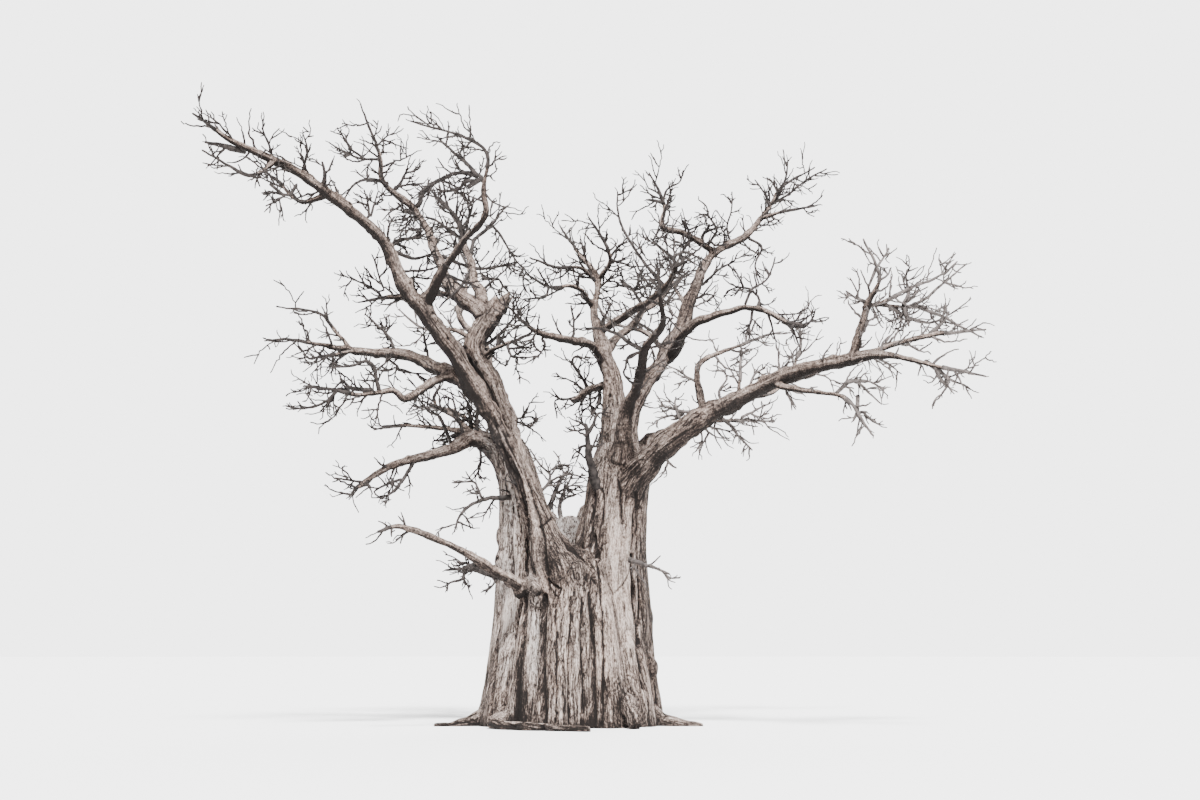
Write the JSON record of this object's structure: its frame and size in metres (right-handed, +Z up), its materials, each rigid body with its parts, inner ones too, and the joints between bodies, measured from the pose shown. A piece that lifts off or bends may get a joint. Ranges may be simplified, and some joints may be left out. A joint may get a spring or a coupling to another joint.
{
  "type": "baobab tree",
  "caption": "Bare baobab tree: a wide fluted trunk that forks into two great stems, with crooked tapering boughs and sprays of leafless twigs.",
  "frame": {"origin": "centre of the flat cut under the trunk, at ground level", "axes": "+Z up the trunk, +X to the right and +Y to the back as the picture shows the tree, so the picture looks along +Y"},
  "size_m": [20.3645, 12.993, 17.482],
  "materials": {
    "trunk": "rough fluted bark, pale pinkish grey",
    "boughs": "rough bark, brown-grey",
    "twigs": "dry bare twigs, darker brown-grey"
  },
  "bodies": {
    "root": {"back_centre_bough": "boughs", "back_centre_twigs": "twigs", "back_left_bough": "boughs", "back_left_low_twigs": "twigs", "back_left_twigs": "twigs", "back_right_bough": "boughs", "back_right_twigs": "twigs", "back_spray_twigs": "twigs", "back_stem": "trunk", "broken_leader_bough": "boughs", "centre_bough": "boughs", "centre_low_twigs": "twigs", "centre_twigs": "twigs", "column_shoot_twigs": "twigs", "column_spray_twigs": "twigs", "cross_arm_bough": "boughs", "cross_arm_twigs": "twigs", "crossing_bough": "boughs", "crossing_twigs": "twigs", "front_leader_bough": "boughs", "front_leader_twigs": "twigs", "great_right_bough": "boughs", "great_right_twigs": "twigs", "grey_arm_bough": "boughs", "grey_arm_twigs": "twigs", "hanging_right_twigs": "twigs", "high_left_bough": "boughs", "high_left_twigs": "twigs", "inner_left_bough": "boughs", "inner_left_twigs": "twigs", "leader_spray_twigs": "twigs", "left_centre_arm_bough": "boughs", "left_centre_arm_twigs": "twigs", "left_spur_twigs": "twigs", "left_stem": "trunk", "long_left_bough": "boughs", "long_left_twigs": "twigs", "low_left_bough": "boughs", "low_left_side_twigs": "twigs", "low_left_twigs": "twigs", "low_right_spray_twigs": "twigs", "middle_left_arm_bough": "boughs", "middle_left_arm_twigs": "twigs", "pale_arm_bough": "boughs", "pale_arm_twigs": "twigs", "right_arm_bough": "boughs", "right_arm_twigs": "twigs", "right_end_twigs": "twigs", "right_leader_bough": "boughs", "right_leader_twigs": "twigs", "right_post_twigs": "twigs", "right_shoot_twigs": "twigs", "right_stem": "trunk", "shoulder_spray_twigs": "twigs", "stubby_arm_twigs": "twigs", "trunk": "trunk", "upper_left_arm_bough": "boughs", "upper_left_arm_twigs": "twigs", "upright_right_bough": "boughs", "upright_right_twigs": "twigs"}
  },
  "joints": []
}
